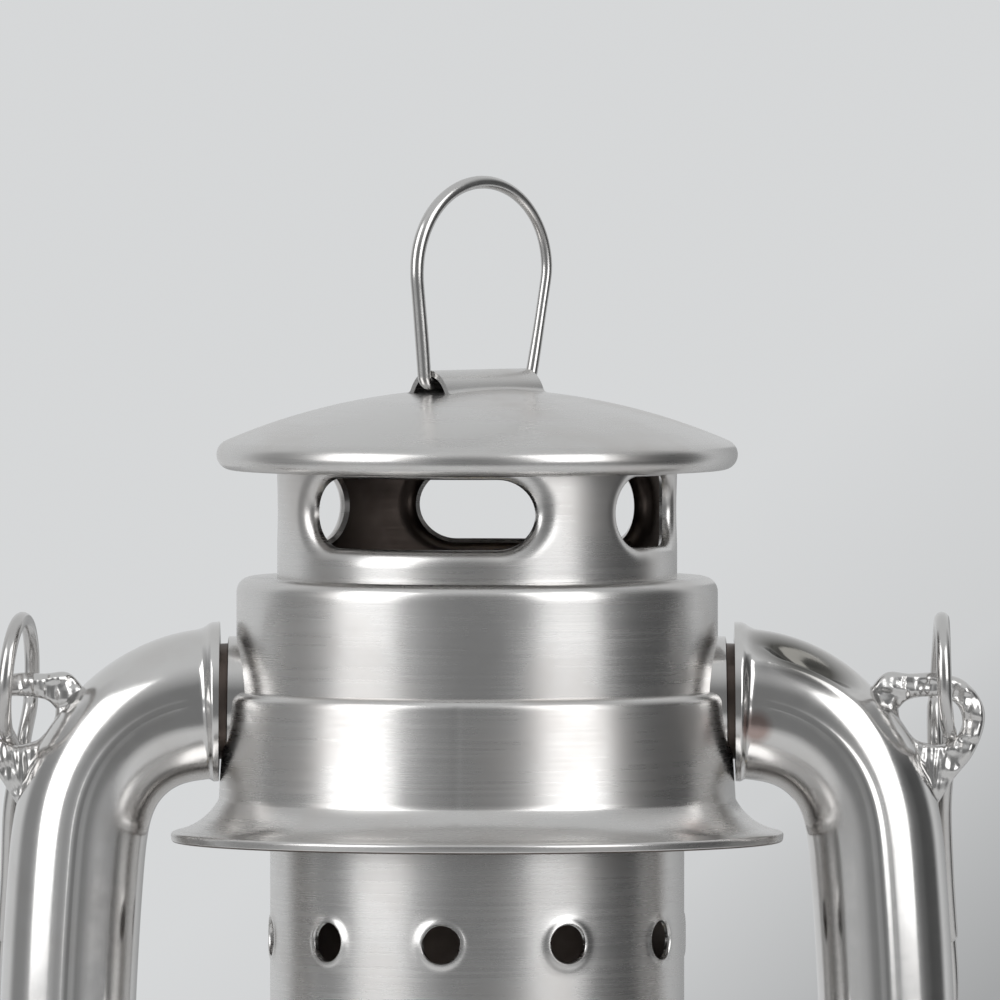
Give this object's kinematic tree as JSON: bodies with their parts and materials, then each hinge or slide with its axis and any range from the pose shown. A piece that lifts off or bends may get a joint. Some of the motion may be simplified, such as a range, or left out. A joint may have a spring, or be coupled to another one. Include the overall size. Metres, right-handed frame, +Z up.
{
  "type": "hurricane lantern",
  "caption": "Tubular hurricane lantern in bright metal: domed hood with lift loop, windowed chimney, two-step collar, perforated crown, side tubes, glass globe, tank and wire bail.",
  "frame": {"origin": "centre of the tank's foot, on the surface it stands on", "axes": "+Z up, side tubes along X, the pictured front towards -Y"},
  "size_m": [0.1551, 0.1144, 0.256],
  "materials": {
    "nickel_sheet": "satin polished",
    "nickel_tube": "polished",
    "steel_wire": "bright wire",
    "burner_brass": "pressed brass",
    "knob_metal": "bright",
    "clear_glass": "clear",
    "wick_cotton": "woven",
    "seal_rubber": "matt"
  },
  "bodies": {
    "frame": {"fuel_tank": "nickel_sheet", "tank_base": "nickel_sheet", "filler_neck": "nickel_sheet", "burner_collar": "burner_brass", "burner_body": "burner_brass", "burner_cone": "burner_brass", "wick_tube": "burner_brass", "air_chamber": "nickel_sheet", "lever_bracket": "nickel_sheet", "crown_spring": "steel_wire", "upper_collar": "nickel_sheet", "lower_collar": "nickel_sheet", "side_tube_left": "nickel_tube", "side_tube_right": "nickel_tube", "bail_ear_left": "nickel_sheet", "bail_ear_right": "nickel_sheet"},
    "globe_carriage": {"globe_plate": "nickel_sheet", "globe_guard": "steel_wire", "globe": "clear_glass"},
    "crown": {"crown_drum": "nickel_sheet", "chimney_tube": "nickel_sheet", "hood": "nickel_sheet"},
    "lift_ring": {"lift_ring": "steel_wire"},
    "bail": {"bail": "steel_wire"},
    "lift_lever": {"lift_lever": "steel_wire"},
    "wick_raiser": {"wick_shaft": "burner_brass", "wick_wheels": "burner_brass", "wick_knob": "knob_metal"},
    "wick": {"wick": "wick_cotton"},
    "cap_seal": {"cap_gasket": "seal_rubber"},
    "filler_cap": {"filler_cap": "nickel_sheet"}
  },
  "joints": [
    {"name": "globe_lift", "type": "slide", "parent": "frame", "child": "globe_carriage", "axis": [0, 0, 1], "range_m": [0, 0.008]},
    {"name": "crown_lift", "type": "slide", "parent": "globe_carriage", "child": "crown", "axis": [0, 0, 1], "range_m": [0, 0.016], "stiffness_N_per_m": 120, "springref_m": -0.012, "deforming": ["crown_spring"]},
    {"name": "lift_ring_swing", "type": "hinge", "parent": "crown", "child": "lift_ring", "pos_m": [0, 0, 0.227], "axis": [0.7431, 0.6691, 0], "range_deg": [-90, 90]},
    {"name": "bail_swing", "type": "hinge", "parent": "frame", "child": "bail", "pos_m": [0, 0, 0.1859], "axis": [1, 0, 0], "range_deg": [0, 315]},
    {"name": "lever_turn", "type": "hinge", "parent": "frame", "child": "lift_lever", "pos_m": [0.0525, -0.014, 0.0618], "axis": [0, 1, 0], "range_deg": [-1, 29.24]},
    {"name": "knob_turn", "type": "hinge", "parent": "frame", "child": "wick_raiser", "pos_m": [0.0055, 0, 0.0485], "axis": [0, 1, 0], "range_deg": [-65, 115]},
    {"name": "wick_rise", "type": "slide", "parent": "frame", "child": "wick", "axis": [0, 0, 1], "range_m": [-0.005, 0.0085]},
    {"name": "cap_rise", "type": "slide", "parent": "frame", "child": "cap_seal", "axis": [0, 0, 1], "range_m": [0, 0.0031]},
    {"name": "cap_turn", "type": "hinge", "parent": "cap_seal", "child": "filler_cap", "pos_m": [-0.02409, -0.0344, 0.044], "axis": [0, 0, 1], "range_deg": [0, 360]}
  ],
  "couplings": [
    {"joint": "lever_turn", "follows": "globe_lift", "rad_per_m": 61.614},
    {"joint": "wick_rise", "follows": "knob_turn", "m_per_rad": 0.004},
    {"joint": "cap_rise", "follows": "cap_turn", "m_per_rad": 0.00047746}
  ]
}
